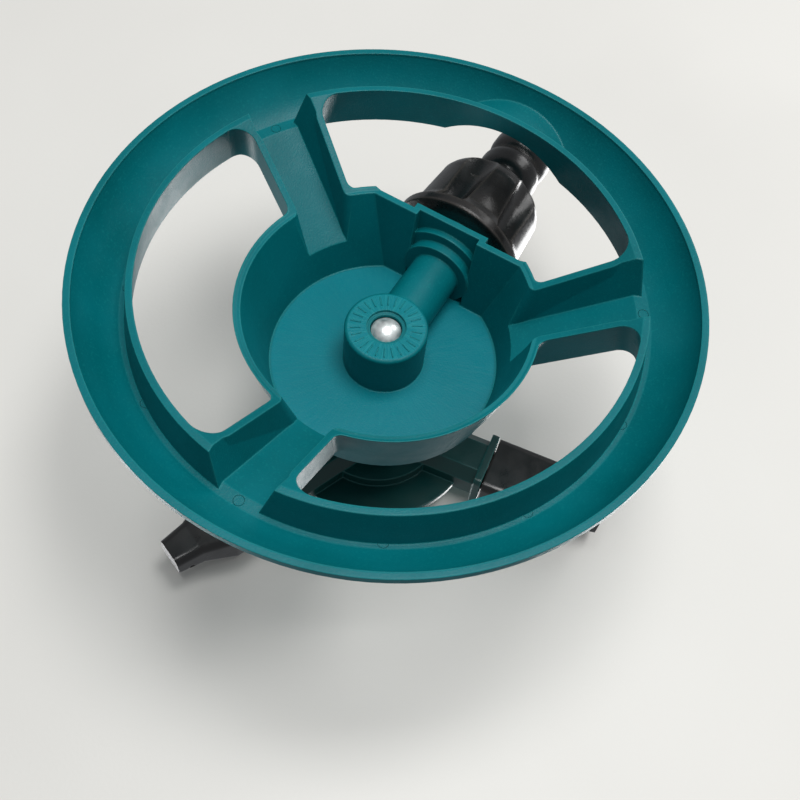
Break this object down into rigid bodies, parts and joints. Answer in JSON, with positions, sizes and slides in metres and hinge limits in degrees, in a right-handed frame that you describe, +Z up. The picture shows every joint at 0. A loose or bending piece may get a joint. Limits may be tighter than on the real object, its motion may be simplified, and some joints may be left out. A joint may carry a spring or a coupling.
{
  "type": "rotary lawn sprinkler",
  "caption": "Whirling lawn sprinkler: rotor with angled nozzle arms on a round hollow spoked wheel base with a barbed hose inlet.",
  "frame": {"origin": "on the rotor's axis, in the plane that the wheel's rim stands on", "axes": "+Z up along the rotor's axis, +X out along the hose inlet"},
  "size_m": [0.176, 0.16, 0.0905],
  "materials": {
    "teal_polypropylene": "satin moulded",
    "dark_green_plastic": "satin moulded",
    "black_plastic": "glossy moulded",
    "plated_steel": "nickel plated",
    "black_rubber": "matte",
    "white_acetal": "matte"
  },
  "bodies": {
    "base": {"wheel_base": "teal_polypropylene", "axle_pin": "plated_steel", "axle_seal": "black_rubber", "lower_washer": "white_acetal", "upper_washer": "plated_steel", "axle_nut": "plated_steel", "hose_tail": "black_plastic", "tail_gasket": "black_rubber"},
    "rotor": {"rotor_hub": "dark_green_plastic", "rotor_cap": "dark_green_plastic", "stem_bush": "white_acetal", "stem_seal": "black_rubber", "top_bush": "white_acetal"},
    "coupling": {"coupling_nut": "black_plastic"},
    "nozzle_1": {"nozzle_arm_1": "black_plastic", "arm_seal_1": "black_rubber"},
    "nozzle_2": {"nozzle_arm_2": "black_plastic", "arm_seal_2": "black_rubber"},
    "nozzle_3": {"nozzle_arm_3": "black_plastic", "arm_seal_3": "black_rubber"}
  },
  "joints": [
    {"name": "rotor_spin", "type": "hinge", "parent": "base", "child": "rotor", "pos_m": [0, 0, 0.08], "axis": [0, 0, 1], "continuous": true},
    {"name": "coupling_turn", "type": "hinge", "parent": "base", "child": "coupling", "pos_m": [0.05, 0, 0.031], "axis": [1, 0, 0], "continuous": true},
    {"name": "nozzle_twist_1", "type": "hinge", "parent": "rotor", "child": "nozzle_1", "pos_m": [0.00571, 0.03959, 0.08], "axis": [0.1426, 0.9898, 0], "range_deg": [-45, 45]},
    {"name": "nozzle_twist_2", "type": "hinge", "parent": "rotor", "child": "nozzle_2", "pos_m": [-0.03714, -0.01486, 0.08], "axis": [-0.9285, -0.3714, 0], "range_deg": [-45, 45]},
    {"name": "nozzle_twist_3", "type": "hinge", "parent": "rotor", "child": "nozzle_3", "pos_m": [0.03143, -0.02474, 0.08], "axis": [0.7859, -0.6184, 0], "range_deg": [-45, 45]}
  ]
}
